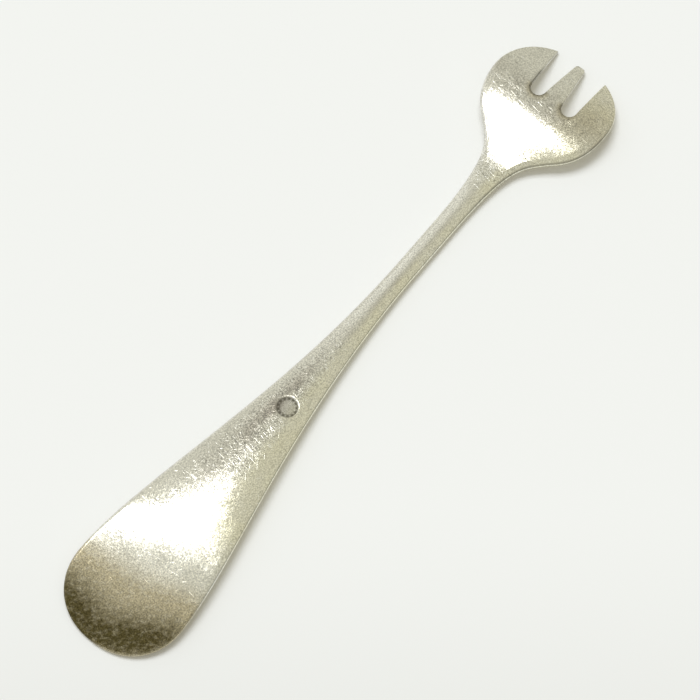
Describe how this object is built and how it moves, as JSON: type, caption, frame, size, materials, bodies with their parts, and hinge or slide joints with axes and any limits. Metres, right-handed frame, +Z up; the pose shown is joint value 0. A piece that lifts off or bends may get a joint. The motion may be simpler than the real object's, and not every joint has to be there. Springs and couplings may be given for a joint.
{
  "type": "snail fork",
  "caption": "Small silver table fork for snails and shellfish: a broad rounded head with short tines, a slim stem and a spatula-shaped handle, lying face down.",
  "frame": {"origin": "on the table, under the middle of the fork's length and width, with the fork lying face down", "axes": "+X along the fork from the handle's end to the tips, +Y across it to the left, +Z up from the table, out of the fork's rounded back"},
  "size_m": [0.15, 0.0266, 0.0041],
  "materials": {
    "worn_silver": "worn satin silver with fine scratches and a warm tarnish"
  },
  "bodies": {
    "root": {"fork": "worn_silver"}
  },
  "joints": []
}
